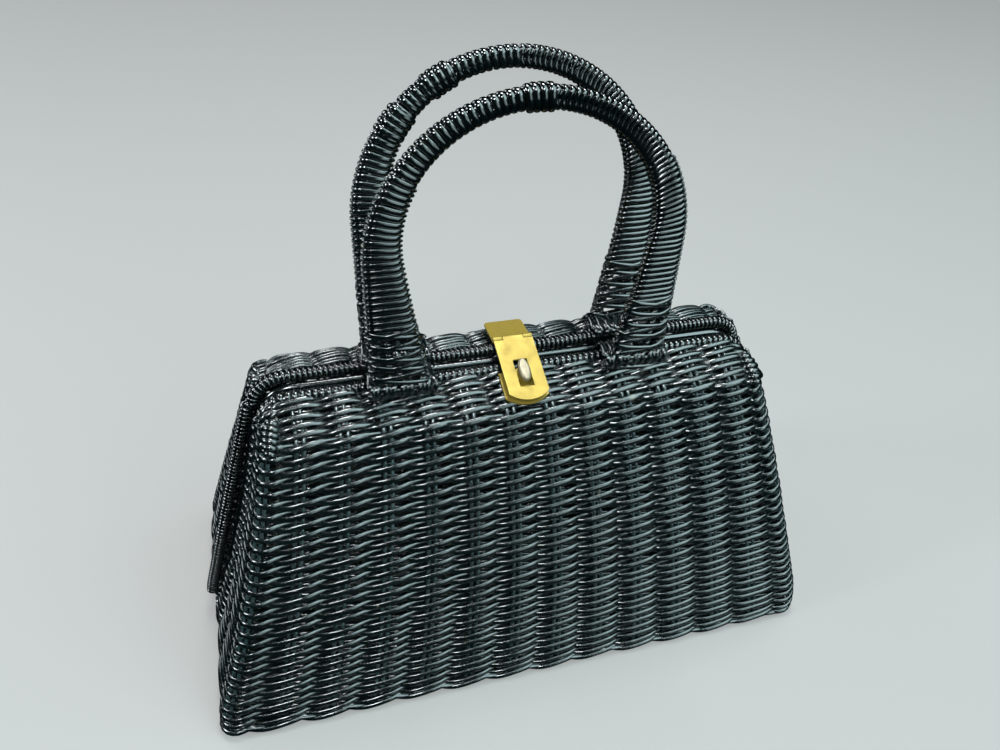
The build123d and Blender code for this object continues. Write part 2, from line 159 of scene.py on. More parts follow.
# %% Meshes from strands
def mesh_from(name, strands):
    """One smooth mesh of all the strands, with their fibre map and their tones."""
    spots, tones, quads, quad_maps, start = [], [], [], [], 0
    tris, tri_maps = [np.zeros((0, 3), int)], [np.zeros((0, 3, 2))]
    for strand in strands:
        faces, face_map = side_faces(strand)
        quads.append(start + faces)
        quad_maps.append(face_map)
        own_spots = strand["rings"].reshape(-1, 3)
        if not strand["closed"]:
            tips, faces, face_map = end_fans(strand)
            tris.append(start + faces)
            tri_maps.append(face_map)
            own_spots = np.vstack([own_spots, tips])
        spots.append(own_spots)
        tones.append(np.full(len(own_spots), strand["tone"]))
        start += len(own_spots)
    quads, tris = np.vstack(quads), np.vstack(tris)
    mesh = bpy.data.meshes.new(name)
    mesh.vertices.add(start)
    mesh.vertices.foreach_set("co", (np.vstack(spots) * MM).ravel())
    mesh.loops.add(quads.size + tris.size)
    mesh.loops.foreach_set("vertex_index", np.concatenate([quads.ravel(), tris.ravel()]))
    mesh.polygons.add(len(quads) + len(tris))
    loop_starts = np.concatenate([np.arange(len(quads)) * 4, quads.size + np.arange(len(tris)) * 3])
    mesh.polygons.foreach_set("loop_start", loop_starts)
    mesh.polygons.foreach_set("use_smooth", np.ones(len(loop_starts), bool))
    mesh.update(calc_edges=True)
    fibre = mesh.uv_layers.new(name="fibre")
    fibre.data.foreach_set("uv", np.concatenate([np.vstack(quad_maps).ravel(), np.vstack(tri_maps).ravel()]))
    tone = mesh.attributes.new("strand_tone", "FLOAT", "POINT")
    tone.data.foreach_set("value", np.concatenate(tones))
    mesh.validate()
    return mesh


def piece_from(name, strands, body, material, replaced=()):
    """One object from many strands, riding on a body."""
    mesh = mesh_from(name, strands)
    mesh.materials.append(material)
    piece = bpy.data.objects.new(name, mesh)
    bpy.context.scene.collection.objects.link(piece)
    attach(piece, body)
    if replaced:
        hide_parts(*replaced)
    print(name, len(strands), "strands", len(mesh.loops) - 2 * len(mesh.polygons), "triangles")


print("ready to make pieces")

# %% [markdown]
# ## Finishes
# The cane was dipped in black lacquer: a dark base under a clear glossy coat. The base's faint
# blue-green is a painted reflection, a tint standing in for the cool sheen of the sky on the
# lacquer. The cane's fibres still show as fine ridges along each strand, so the bump reads the
# strand's own map. Strands differ a little, and here and there the lacquer has rubbed thin. An
# image could hold all this, but nodes stay sharp at any distance and need no file. The first
# cell only saves typing: it makes nodes together with their settings.

# %% Material helpers
COLOUR_A, COLOUR_B, COLOUR_OUT = 6, 7, 2    # a colour mix's two inputs and its output


def new_material(name):
    """A material, its surface shader, a helper that links and one that adds a node with inputs."""
    material = bpy.data.materials.new(name)
    material.use_nodes = True
    tree = material.node_tree

    def add(kind, **values):
        node = tree.nodes.new(kind)
        for key, value in values.items():
            if key in node.inputs:
                node.inputs[key].default_value = value
            else:
                setattr(node, key, value)
        return node

    return material, tree.nodes["Principled BSDF"], tree.links.new, add


def ramp(add, low, high, from_value, to_value):
    """A straight change between two values of a number, held at both ends."""
    names = ("From Min", "From Max", "To Min", "To Max")
    return add("ShaderNodeMapRange", **dict(zip(names, (low, high, from_value, to_value))))


def colour_mix(add, first, second):
    """A mix from a first colour to a second."""
    node = add("ShaderNodeMix", data_type="RGBA")
    node.inputs[COLOUR_A].default_value = first
    node.inputs[COLOUR_B].default_value = second
    return node


def cloud(add, link, vector, scale, detail, roughness):
    """A cloudy pattern from 0 to 1 that reads a vector."""
    node = add("ShaderNodeTexNoise", Scale=scale, Detail=detail, Roughness=roughness)
    link(vector, node.inputs["Vector"])
    return node.outputs["Fac"]


def gloss_from(add, link, shader, pattern, roughness):
    """Roughness that goes from its low to its high value with a pattern."""
    gloss = ramp(add, 0.3, 0.7, *roughness)
    link(pattern, gloss.inputs["Value"])
    link(gloss.outputs["Result"], shader.inputs["Roughness"])


def relief_from(add, link, shader, pattern, strength, depth):
    """Fine relief, as deep as depth in metres, where a pattern is high."""
    bump = add("ShaderNodeBump", Strength=strength, Distance=depth)
    link(pattern, bump.inputs["Height"])
    link(bump.outputs["Normal"], shader.inputs["Normal"])


print("material helpers ready")

# %% [markdown]
# Three lacquers differ in colour, gloss and depth of the fibres: one for the weavers, one for
# the finer cane of rims and handles, and a duller one for the peeled stakes, whose paler base
# is a painted highlight standing in for the glints the stakes catch between the strokes.

# %% Lacquered cane
def lacquer(name, dark, light, worn, roughness, fibre_depth):
    """Black lacquer over cane: fibre ridges, uneven gloss and rare rubbed places.

    The base goes from dark to light with half the strand's tone plus half its fibre pattern.
    """
    material, shader, link, add = new_material(name)
    strand_map = add("ShaderNodeUVMap", uv_map="fibre")
    stretch = add("ShaderNodeMapping", Scale=(1.1, 9.0, 1.0))
    link(strand_map.outputs["UV"], stretch.inputs["Vector"])
    fibres = cloud(add, link, stretch.outputs["Vector"], 3.0, 4.0, 0.6)
    place = add("ShaderNodeTexCoord").outputs["Object"]
    patches = cloud(add, link, place, 55.0, 3.0, 0.55)
    rubs = cloud(add, link, place, 95.0, 2.0, 0.5)

    half_fibres = add("ShaderNodeMath", operation="MULTIPLY")
    half_fibres.inputs[1].default_value = 0.5
    link(fibres, half_fibres.inputs[0])
    tone = add("ShaderNodeAttribute", attribute_name="strand_tone")
    shade = add("ShaderNodeMath", operation="MULTIPLY_ADD")
    shade.inputs[1].default_value = 0.5
    link(tone.outputs["Fac"], shade.inputs[0])
    link(half_fibres.outputs["Value"], shade.inputs[2])
    base = colour_mix(add, dark, light)
    link(shade.outputs["Value"], base.inputs["Factor"])
    rubbed = ramp(add, 0.74, 0.80, 0.0, 0.75)
    link(rubs, rubbed.inputs["Value"])
    colour = colour_mix(add, dark, worn)
    link(rubbed.outputs["Result"], colour.inputs["Factor"])
    link(base.outputs[COLOUR_OUT], colour.inputs[COLOUR_A])
    link(colour.outputs[COLOUR_OUT], shader.inputs["Base Color"])

    gloss_from(add, link, shader, patches, roughness)
    shader.inputs["Specular IOR Level"].default_value = 0.5
    shader.inputs["Coat Weight"].default_value = 1.0
    shader.inputs["Coat Roughness"].default_value = 0.09
    relief_from(add, link, shader, fibres, 0.55, fibre_depth)
    return material


# The faint blue-green of these base colours is a painted reflection, a tint of the sky's cool sheen.
wicker = lacquer(
    "lacquered_wicker", dark=(0.0006, 0.0014, 0.0015, 1), light=(0.0024, 0.0058, 0.0062, 1),
    worn=(0.12, 0.115, 0.09, 1), roughness=(0.13, 0.28), fibre_depth=0.0002)
binding_cane = lacquer(
    "lacquered_cane", dark=(0.0006, 0.0012, 0.0013, 1), light=(0.0022, 0.0046, 0.0050, 1),
    worn=(0.07, 0.065, 0.05, 1), roughness=(0.10, 0.22), fibre_depth=0.0001)
# The stakes' paler base is a painted highlight: it stands in for the glints they catch.
glint_painted_stake_cane = lacquer(
    "lacquered_stakes_painted_glint", dark=(0.0045, 0.010, 0.011, 1), light=(0.017, 0.036, 0.039, 1),
    worn=(0.12, 0.115, 0.09, 1), roughness=(0.20, 0.36), fibre_depth=0.0001)
print("lacquers made:", wicker.name, binding_cane.name, glint_painted_stake_cane.name)

# %% [markdown]
# Bare rods and hinge loops come from the frame with no strand map, so their lacquer reads the
# place on the object alone.

# %% Lacquered rod
def rod_lacquer():
    """The same lacquer on round rods, with a fine even grain."""
    material, shader, link, add = new_material("lacquered_rod")
    grain = cloud(add, link, add("ShaderNodeTexCoord").outputs["Object"], 420.0, 3.0, 0.6)
    colour = colour_mix(add, (0.006, 0.008, 0.009, 1), (0.020, 0.024, 0.026, 1))
    link(grain, colour.inputs["Factor"])
    link(colour.outputs[COLOUR_OUT], shader.inputs["Base Color"])
    gloss_from(add, link, shader, grain, (0.22, 0.42))
    shader.inputs["Coat Weight"].default_value = 0.5
    shader.inputs["Coat Roughness"].default_value = 0.16
    relief_from(add, link, shader, grain, 0.4, 0.0002)
    return material


rod_finish = rod_lacquer()
print("rod lacquer made:", rod_finish.name)

# %% [markdown]
# The clasp is thin stamped brass, bright yellow and lightly handled: soft cloudy dulling, fine
# scratches along one slant, and a paler, more worn plating on the turn button. Pure metal
# would mirror the unlit studio in dark patches, so it is only half a metal.

# %% Brass
def brass_finish(name, bright, dull, roughness, dulling):
    """Metal whose colour and roughness follow clouds of handling, with hairline scratches."""
    material, shader, link, add = new_material(name)
    shader.inputs["Metallic"].default_value = 0.5
    place = add("ShaderNodeTexCoord").outputs["Object"]
    clouds = cloud(add, link, place, 160.0, 5.0, 0.65)
    amount = ramp(add, 0.40, 0.72, 0.0, dulling)
    link(clouds, amount.inputs["Value"])
    colour = colour_mix(add, bright, dull)
    link(amount.outputs["Result"], colour.inputs["Factor"])
    link(colour.outputs[COLOUR_OUT], shader.inputs["Base Color"])
    gloss_from(add, link, shader, clouds, roughness)
    stretch = add("ShaderNodeMapping", Scale=(900.0, 70.0, 70.0), Rotation=(0.0, 0.0, 0.5))
    link(place, stretch.inputs["Vector"])
    scratches = cloud(add, link, stretch.outputs["Vector"], 2.0, 2.0, 0.7)
    relief_from(add, link, shader, scratches, 0.25, 0.00008)
    return material


brass = brass_finish("brass", bright=(0.275, 0.195, 0.030, 1), dull=(0.20, 0.135, 0.022, 1),
                     roughness=(0.36, 0.52), dulling=0.6)
worn_brass = brass_finish("worn_brass", bright=(0.24, 0.205, 0.14, 1), dull=(0.09, 0.065, 0.04, 1),
                          roughness=(0.30, 0.46), dulling=0.9)
print("brass made:", brass.name, worn_brass.name)

# %% [markdown]
# ## The shape that the weaver followed
# Seen from the side, a half is a leaning face that bends at a knee into a shoulder. Seen from
# the front, it narrows upwards with slightly hollow sides and a rounded foot. The old weave has
# settled, so the two halves also lean a little to different sides. All work below is laid out
# on the front half, and the back half is the same work turned half way round.

# %% Outline from the front
body_height, base_half, side_taper, side_hollow = 140.0, 144.0, 40.0, 1.0
foot_round, foot_height = 4.5, 16.0
HALVES = {
    "front": {
        "flip": 1.0,                # which side of the middle plane it stands on
        "knee": 133.0,              # height of the knee
        "slope": np.radians(15),    # climb of the shoulder
        "edge": 7.2,                # where face rows stop, short of the middle plane
        "spread": 0.0,              # how much further out its rows stand at the sides
        "bow": 9.0,                 # how far in from its ends a shoulder row starts to bend down
        "drift": 2.6,               # how far it has settled to the right
    },
    "back": {
        "flip": -1.0, "knee": 137.5, "slope": np.radians(7), "edge": 9.9,
        "spread": 1.4, "bow": 26.0, "drift": -1.2,
    },
}


def half_width(z):
    """Half the width at a height: a straight taper less a shallow hollow and a rounded foot.

    The hollow is zero at both ends, and the foot's rounding grows as the square of the way
    down from its top.
    """
    share = np.minimum(z, body_height) / body_height
    foot = foot_round * np.clip(1 - z / foot_height, 0, 1) ** 2
    return base_half - side_taper * share - 4 * side_hollow * share * (1 - share) - foot


def drift(half, z):
    """Sideways shift at a height, a parabola that is nothing at the floor and at the rim."""
    share = np.clip(z / body_height, 0, 1)
    return HALVES[half]["drift"] * 4 * share * (1 - share)


def turned(half, vectors):
    """Vectors of one half. Turned half way round and not mirrored, so strokes climb one way."""
    flip = HALVES[half]["flip"]
    return vectors * np.array([flip, flip, 1.0])


def placed(half, points):
    """Points of one half, on its side of the bag and with its settled drift."""
    points = turned(half, points)
    return points + drift(half, points[:, 2:]) * RIGHTWARDS


print("half width at foot, middle and rim", np.round(half_width(np.array([0.0, 70.0, 140.0])), 1))

# %% [markdown]
# The outline from the side is one line for each half. A place on it is a distance from the
# foot, because that is how a weaver counts: row upon row, over the knee and inwards.

# %% Outline from the side
foot_depth, knee_depth = 68.0, 25.0
knee_bend, shoulder_length, knee_margin = 7.0, 23.0, 2.0


def side_line(half):
    """Depth and height along a half's outline: the face, a bend at the knee and the shoulder.

    The bend is a curve that shares out three points evenly: (1-t)^2 a + 2t(1-t) b + t^2 c.
    """
    data = HALVES[half]
    foot = np.array([foot_depth, 0.0])
    knee = np.array([knee_depth, data["knee"]])
    inwards = np.array([-np.cos(data["slope"]), np.sin(data["slope"])])
    below, beyond = knee + knee_bend * unit(foot - knee), knee + knee_bend * inwards
    t = np.linspace(0, 1, 13)[:, None]
    bend = (1 - t) ** 2 * below + 2 * t * (1 - t) * knee + t**2 * beyond
    return np.vstack([foot, bend, knee + shoulder_length * inwards])


def side_point(half, distance):
    """Depth, height and the climb's direction at a distance up the outline."""
    line = side_line(half)
    run = run_along(line)
    depth, height = read_off(distance, run, line)
    climb = unit(read_off(distance + 0.5, run, line) - read_off(distance - 0.5, run, line))
    return depth, height, climb


def outline_length(half):
    """Length of a half's whole outline, from the foot to the end of the shoulder."""
    return run_along(side_line(half))[-1]


def face_length(half):
    """Length of the face's weaving, which stops a little below the shoulder."""
    return outline_length(half) - shoulder_length - knee_margin


print("face lengths", {half: round(float(face_length(half)), 1) for half in HALVES})

# %% [markdown]
# ## Where a row runs
# A row of weaving lies at one distance up the outline. On the face it runs from one side edge,
# round a corner, along the face and back to the other edge. On the shoulder it runs along the
# top and bends down at its ends. The stakes set where strokes fall, so a place on a row is
# counted in stakes from the middle: 6 stake pairs each side stand on the face, one at the
# corner and the rest on the side.

# %% Half a row
corner = 9.0
face_swell = 1.2    # how far the face bulges at its middle
straight_points, side_points = 40, 23
quarter = np.linspace(0, np.pi / 2, 13)[1:]


def face_row(half, reach, depth, height, climb):
    """Right half of a face row: points, outward directions and lengths at the corner stakes.

    The corner is a quarter circle. The face swells by a sine up it times a squared cosine
    along it, and the outward direction turns from the face's lean to the side's lean.
    """
    data = HALVES[half]
    flat = reach - corner
    rest = depth - corner - data["edge"]
    back = np.linspace(0, max(0.5, rest), side_points + 1)[1:]
    x = np.concatenate([np.linspace(0, flat, straight_points), flat + corner * np.sin(quarter),
                        np.full(side_points, reach)])
    y = np.concatenate([np.full(straight_points, -depth), -depth + corner - corner * np.cos(quarter),
                        -depth + corner + back])
    heading = np.concatenate([np.zeros(straight_points), quarter, np.full(side_points, np.pi / 2)])
    share = height / body_height
    side_lean = np.arctan((side_taper + 4 * side_hollow * (1 - 2 * share)) / body_height)
    lean = np.cos(heading) ** 2 * np.arccos(climb[1]) + np.sin(heading) ** 2 * side_lean
    out = np.stack([np.sin(heading) * np.cos(lean), -np.cos(heading) * np.cos(lean), np.sin(lean)], 1)
    swell = face_swell * np.sin(np.pi * height / data["knee"]) * np.cos(np.pi * x / 2 / reach) ** 2
    points = np.stack([x, y - swell * np.cos(heading), np.full(len(x), height)], 1)
    bent = flat + corner * np.pi / 2
    return points, out, [flat + corner * np.pi / 4, bent + rest / 3, bent + 2 * rest / 3]


def shoulder_row(half, reach, depth, height, climb):
    """Right half of a shoulder row, whose end is a quarter of an ellipse, bow long and drop deep."""
    bow = HALVES[half]["bow"]
    drop = max(3.0, height - HALVES[half]["knee"] + 3.5) + 0.15 * (bow - corner)
    x = np.concatenate([np.linspace(0, reach - bow, straight_points), reach - bow + bow * np.sin(quarter)])
    z = np.concatenate([np.full(straight_points, height), height - drop + drop * np.cos(quarter)])
    end_lean = np.arctan2(drop * np.sin(quarter), bow * np.cos(quarter))
    lean = np.concatenate([np.zeros(straight_points), end_lean])
    out = np.stack([np.sin(lean), -np.cos(lean) * climb[1], np.cos(lean) * -climb[0]], 1)
    return np.stack([x, np.full(len(x), -depth), z], 1), out, []


print("a half row has", straight_points + len(quarter) + side_points, "points on the face")

# %% [markdown]
# The other half of a row is its mirror image. Between two stakes, a place is shared out evenly
# by length, so a strand can be worked out in stakes and then read off the path.

# %% Whole row
face_stakes = 6
foot_gap, gap_loss = 21.0, 4.6      # distance between stakes at the foot, and its loss by the knee
shoulder_climb = 0.72               # below this upward share the outline counts as shoulder


def row_path(half, distance):
    """Points, outward directions and lengths along one row, with the length at each stake."""
    depth, height, climb = side_point(half, distance)
    reach = half_width(height) + HALVES[half]["spread"]
    half_row = shoulder_row if climb[1] < shoulder_climb else face_row
    points, out, corner_lengths = half_row(half, reach, depth, height, climb)
    run = run_along(points)
    knee = HALVES[half]["knee"]
    gap = foot_gap - gap_loss * min(height, knee) / knee
    lengths = np.array([*((np.arange(face_stakes) + 0.5) * gap), *corner_lengths, run[-1]])
    places = np.arange(len(lengths)) + 0.5
    mirror = np.array([-1.0, 1.0, 1.0])
    return {
        "points": np.vstack([points[:0:-1] * mirror, points]),
        "out": np.vstack([out[:0:-1] * mirror, out]),
        "run": np.concatenate([-run[:0:-1], run]),
        "places": np.concatenate([-places[::-1], [0.0], places]),
        "lengths": np.concatenate([-lengths[::-1], [0.0], lengths]),
    }


def on_row(row, place):
    """Point and outward direction at stake places along a row."""
    length = np.interp(place, row["places"], row["lengths"])
    return read_off(length, row["run"], row["points"]), unit(read_off(length, row["run"], row["out"]))


print("a front row at mid height is", round(float(np.ptp(row_path("front", 70.0)["run"]))), "mm long")

# %% [markdown]
# ## Twined rows
# Twining uses two weavers at once. At each stake pair one passes in front and the other behind,
# and between stakes they change places with a half twist, which is why every stroke on the
# outside climbs the same way. The offset square to the surface follows a cosine flattened at its
# crests, because stiff cane lies straight over a stake, and the offset up the surface follows a
# sine. At each edge the front weaver turns round the last stake and goes back as the other
# weaver, so one closed strand makes the whole row.

# %% Twined row
stroke_points = 9                       # points from one stake to the next
lift_spread, swing_spread = 0.24, 0.09  # unevenness of a row's height and of its strokes
crest = 1.5                             # how flat a stroke lies over its stake


def edge_loop(centre, facing, ahead, swing):
    """Half a turn round the last stake: facing * swing * cos + ahead * |swing| * sin."""
    bend = np.linspace(0, np.pi, 7)[1:-1, None]
    return centre + facing * np.cos(bend) * swing + ahead * np.sin(bend) * abs(swing)


def twined_row(half, distance, swing, rise, width, thickness, sink, bunch=(0.0,), edge_swing=2.5):
    """Closed strands of one row: offset = swing * cos(pi (place - 1/2)) out and rise * sin(...) up.

    The middle of the offsets lies sink below the outline, and the swing grows to edge_swing at
    the last stake. Bunch holds one upward shift for each pair of weavers.
    """
    row = row_path(half, distance)
    last = row["places"][-1]
    forward = np.linspace(-last, last, int(2 * last * stroke_points) + 1)
    stakes = np.arange(-last, last + 1)
    strands = []
    lift = np.interp(forward, stakes, rng.normal(0, lift_spread, len(stakes)))
    for shift in bunch:
        stretches, directions = [], []
        for way, phase in ((1, 0.0), (-1, np.pi)):
            place = forward[::way]
            raised = lift[::way] + shift
            theta = np.pi * (place - 0.5) + phase
            point, out = on_row(row, place)
            along = unit(np.gradient(point[::way], axis=0))[::way]
            up = np.cross(out, along)
            near_edge = np.clip((np.abs(place) - (last - 1)), 0, 1) ** 2
            reach = swing + (edge_swing - swing) * near_edge
            force = 1 + np.interp(place, stakes, rng.normal(0, swing_spread, len(stakes)))
            swell = np.tanh(crest * np.cos(theta)) / np.tanh(crest) * reach * force
            offset = (swell - sink)[:, None] * out + (rise * np.sin(theta) + raised)[:, None] * up
            loop = edge_loop(point[-1] - sink * out[-1], out[-1], along[-1] * way, swell[-1])
            stretches += [point + offset, loop + up[-1] * raised[-1]]
            directions += [up, np.repeat(up[-1:], len(loop), 0)]
        points, across = placed(half, np.vstack(stretches)), turned(half, np.vstack(directions))
        strands.append(cane(points, across, width, thickness, closed=True))
    return strands


print("each stroke has", stroke_points, "points")

# %% [markdown]
# ## Face and shoulder weave
# Two thick rows make the foot. Above it the face has ten tight rows and eighteen wider ones.
# The front's shoulder has single rows, while the back's has fewer and broader ones, each made
# of two pairs of thinner weavers. The face is cut into a lower and an upper piece, so that no
# mesh is too heavy.

# %% Weave
first_row = 6.6
tight_rows, wide_rows, lower_rows = 10, 18, 15
row_steps = np.concatenate([np.full(tight_rows, 4.1), np.full(wide_rows, 4.85)])
SHOULDER_ROWS = {"front": (3.2, 7.2, 11.1, 15.0, 18.6), "back": (3.4, 8.0, 12.4, 16.6)}


def row_distances(half):
    """Each face row's distance up the outline: the steps, stretched to end below the knee."""
    counted = np.cumsum(row_steps)
    return first_row + counted * (face_length(half) - first_row) / counted[-1]


def face_weave(half):
    """The face's rows from the lowest up, each a list of strands."""
    rows = []
    for i, distance in enumerate(row_distances(half)):
        rise, width = (0.66, 1.36) if i < tight_rows else (0.78, 1.55)
        rows.append(twined_row(half, distance, swing=1.6, rise=rise, width=width, thickness=0.86, sink=2.4))
    return rows


def foot_weave(half):
    """The two thick rows of the foot."""
    lower = twined_row(half, 3.9, swing=1.9, rise=0.9, width=1.3, thickness=1.1, sink=2.7)
    return lower + twined_row(half, 7.0, swing=1.8, rise=0.9, width=1.15, thickness=1.0, sink=2.6)


def shoulder_weave(half):
    """The rows from the knee inwards."""
    if half == "front":
        cut = dict(swing=1.4, rise=0.8, width=1.35, thickness=0.95, sink=2.0, edge_swing=1.45)
    else:
        cut = dict(swing=1.3, rise=1.1, width=0.86, thickness=0.8, sink=2.0, edge_swing=1.4,
                   bunch=(-0.9, 0.9))
    start = outline_length(half) - shoulder_length
    strands = []
    for step in SHOULDER_ROWS[half]:
        strands += twined_row(half, start + step, **cut)
    return strands


for half in HALVES:
    rows = face_weave(half)
    foot = foot_weave(half)
    lower, upper = sum(rows[:lower_rows], []), sum(rows[lower_rows:], [])
    piece_from(half + "_weave_lower", foot + lower, half + "_half", wicker,
               [half + "_basket"])
    piece_from(half + "_weave_upper", upper, half + "_half", wicker)
    piece_from(half + "_shoulder_weave", shoulder_weave(half), half + "_half", wicker)

# %% [markdown]
# ## Corner rolls
# At each upper corner of the front half, the weavers of the face and the shoulder are gathered
# into a small roll below the rim. It is a short bundle with cane wound round it, so it is made
# as a winding: a helix whose radius swells in the middle like half a sine.

# %% Corner rolls
roll_turns, roll_points = 6, 16


def corner_roll(side):
    """Helix from below the knee to behind it: radius = 1.7 + 1.9 * sin(pi * share of the way)."""
    knee = HALVES["front"]["knee"]
    start = np.array([side * (half_width(knee) - 4.0), -(knee_depth - 0.2), knee - 5.6])
    end = np.array([side * (half_width(knee) - 6.6), -13.5, knee + 2.4])
    axis = unit(end - start)
    across = unit(np.cross(axis, UPWARDS))
    above = np.cross(across, axis)
    angle = np.linspace(0, 2 * np.pi * roll_turns, roll_turns * roll_points)[:, None]
    share = angle / angle[-1]
    radius = 1.7 + 1.9 * np.sin(np.pi * share)
    line = start + (end - start) * share + radius * (across * np.cos(angle) + above * np.sin(angle))
    return cane(placed("front", line), axis, 1.15, 0.7)


piece_from("front_corner_rolls", [corner_roll(side) for side in (-1, 1)], "front_half", wicker)

# %% [markdown]
# ## Stakes
# The upright stakes are pairs of thin peeled sticks. They fan out from the narrow top to the
# wide base and show as small bright ladders between the strokes. This is partly a painted
# highlight, since their lacquer has a paler base than the weavers', and partly light caught by
# their ripple. They bend over the knee and end under the rim. The weavers press them in, so each
# stick ripples by a cosine, outwards between two rows and inwards under each row. The front half
# also has a bare stick along each side edge.

# %% Stake pairs
stake_sink, stake_ripple = 1.6, 0.42
stick_gap = 1.4     # from the middle of a pair to each of its sticks
last_stake = 8.5


def stake_sticks(half):
    """Both sticks of each stake pair, which lie beside the line of one place over all rows."""
    whole, face = outline_length(half), face_length(half)
    distances = np.concatenate([np.linspace(3.0, face - 2, 118), np.linspace(face, whole - 5, 18)])
    rows = [row_path(half, distance) for distance in distances]
    on_face = np.array([row["places"][-1] for row in rows]) > last_stake
    woven = row_distances(half)
    order = np.interp(distances, woven, np.arange(len(woven)))
    ripple = np.where(distances < face - 2, -stake_ripple * np.cos(2 * np.pi * order), 0.0)
    strands = []
    for place in np.arange(-last_stake, last_stake + 0.5):
        held = np.flatnonzero(on_face | (abs(place) < face_stakes))
        found = [on_row(rows[k], [place]) for k in held]
        point, out = (np.vstack(values) for values in zip(*found))
        along = np.cross(unit(np.gradient(point, axis=0)), out)
        for side in (-stick_gap, stick_gap):
            line = placed(half, point + (ripple[held, None] - stake_sink) * out + side * along)
            strands.append(cane(line, turned(half, along), 0.8, 0.75, sides=7))
    return strands


def edge_sticks():
    """The bare stick along each side edge of the front half, which follows the sides' hollow."""
    height = np.linspace(8.0, 112.0, 24)
    strands = []
    for side in (-1, 1):
        line = np.stack([side * (half_width(height) - 2.4), np.full(24, -7.4), height], 1)
        strands.append(cane(placed("front", line), -FORWARDS, 1.5, 1.5))
    return strands


for half in HALVES:
    strands = stake_sticks(half)
    bare = []
    if half == "front":
        strands += edge_sticks()
        bare = ["front_left_edge_stake", "front_right_edge_stake"]
    piece_from(half + "_stakes", strands, half + "_half", glint_painted_stake_cane, bare)

# %% [markdown]
# ## Woven base
# Each half stands on a flat woven floor inside its foot border. It shows when the bag is turned
# over or lies open, so it is woven too, in the same twined stitch along the bag's width.

# %% Base
base_reach, base_level, base_stakes = 136.5, 3.6, 6.5


def base_row(half, depth):
    """A closed twined row: 0.9 * sin across the floor and 1.2 * cos up, shorter near the foot."""
    reach = base_reach - 3.0 * np.clip((depth - 57.0) / 7.0, 0, 1)
    place = np.linspace(-base_stakes, base_stakes, int(2 * base_stakes) * 6 + 1)
    ways = []
    for way, phase in ((1, 0.0), (-1, np.pi)):
        theta = np.pi * (place[::way] - 0.5) + phase
        x = place[::way] / base_stakes * reach
        ways.append(np.stack([x, -depth + 0.9 * np.sin(theta), base_level - 1.2 * np.cos(theta)], 1))
    return cane(placed(half, np.vstack(ways)), -FORWARDS, 1.75, 0.75, sides=6, closed=True)


def base_stick(half, x):
    """A straight stick under the rows, from near the hinge to the foot."""
    y = np.linspace(-7.6, -64.0, 8)
    line = np.stack([np.full(8, x), y, np.full(8, base_level)], 1)
    return cane(placed(half, line), RIGHTWARDS, 0.62, 0.5, sides=6)


for half in HALVES:
    strands = [base_row(half, depth) for depth in np.arange(8.4, 64.0, 3.7)]
    for place in np.arange(-5.5, 6.0):
        strands += [base_stick(half, place / base_stakes * 135.0 + side) for side in (-1.2, 1.2)]
    piece_from(half + "_base_weave", strands, half + "_half", wicker)

# %% [markdown]
# ## Cane wound along a rod
# The rims, the foot lashings and the handles are all cane wound round a core. A winding is a
# helix: as the angle grows by one turn the strand moves one pitch along the path, and its
# offset from the path follows the outline of the core.

# %% Winding
winding_points, winding_spread = 12, 0.05   # points in a turn, unevenness as a share of the pitch


def winding(line, plane_normal, radius, pitch, width, thickness, plait=0.0):
    """A helix round a path: point + side * radius * cos + normal * radius * sin.

    With plait above zero each turn leans one way on one half of the rod and the other way on
    the other, which gives the two rows of beads of a plaited edge.
    """
    run = run_along(line)
    even = np.arange(0, run[-1], 0.5)
    point = read_off(even, run, line)
    turns = int(run[-1] / pitch)
    angle = np.linspace(0, 2 * np.pi * turns, turns * winding_points + 1)
    half_turns = (angle / np.pi) % 2 - 1
    unevenness = rng.normal(0, winding_spread * pitch, turns + 2)
    at = angle / (2 * np.pi) * pitch + np.interp(angle, np.arange(turns + 2) * 2 * np.pi, unevenness)
    at = np.clip(at + plait * pitch * np.abs(half_turns), 0, run[-1])
    travel = unit(read_off(at, even, unit(np.gradient(point, axis=0))))
    side = np.cross(travel, plane_normal)
    dip = 1 - 0.16 * plait * np.exp(-((half_turns / 0.22) ** 2))
    round_it = side * np.cos(angle)[:, None] + plane_normal * np.sin(angle)[:, None]
    points = read_off(at, even, point) + round_it * (radius * dip)[:, None]
    return cane(points, travel, width, thickness, sides=6)


def rod(line, radius):
    """A plain round rod along a path."""
    run = run_along(line)
    return cane(read_off(np.arange(0, run[-1], 2.5), run, line), FORWARDS, radius, radius, sides=10)


print("a winding has", winding_points, "points in a turn")

# %% [markdown]
# ## Rims
# Each half ends in a rod that runs up one side edge, over the top and down the other, wound
# with cane. The back rim reaches down to the floor and is plaited, the front one covers only
# the top and its corners. A plain rod lies inside each rim, close to the middle plane, and
# shuts the slit between the two halves.

# %% Rims
def rim_line(half, top, low, corner_radius, y, inset):
    """Up one leaning side, round the corner, along the top and down the other side.

    The corner is a quarter circle, widened a little where it leaves the side.
    """
    sides = np.linspace(low, top - corner_radius, 30)
    turn = np.linspace(0, np.pi / 2, 14)[1:]
    corner_x = half_width(top) - inset - corner_radius * (1 - np.cos(turn)) + 1.2 * np.cos(turn)
    corner_z = top - corner_radius * (1 - np.sin(turn))
    x, z = np.concatenate([half_width(sides) - inset, corner_x]), np.concatenate([sides, corner_z])
    right = np.stack([x, np.full(len(x), y), z], 1)
    line = np.vstack([right * [-1, 1, 1], right[::-1]])
    return line + drift(half, line[:, 2:]) * RIGHTWARDS


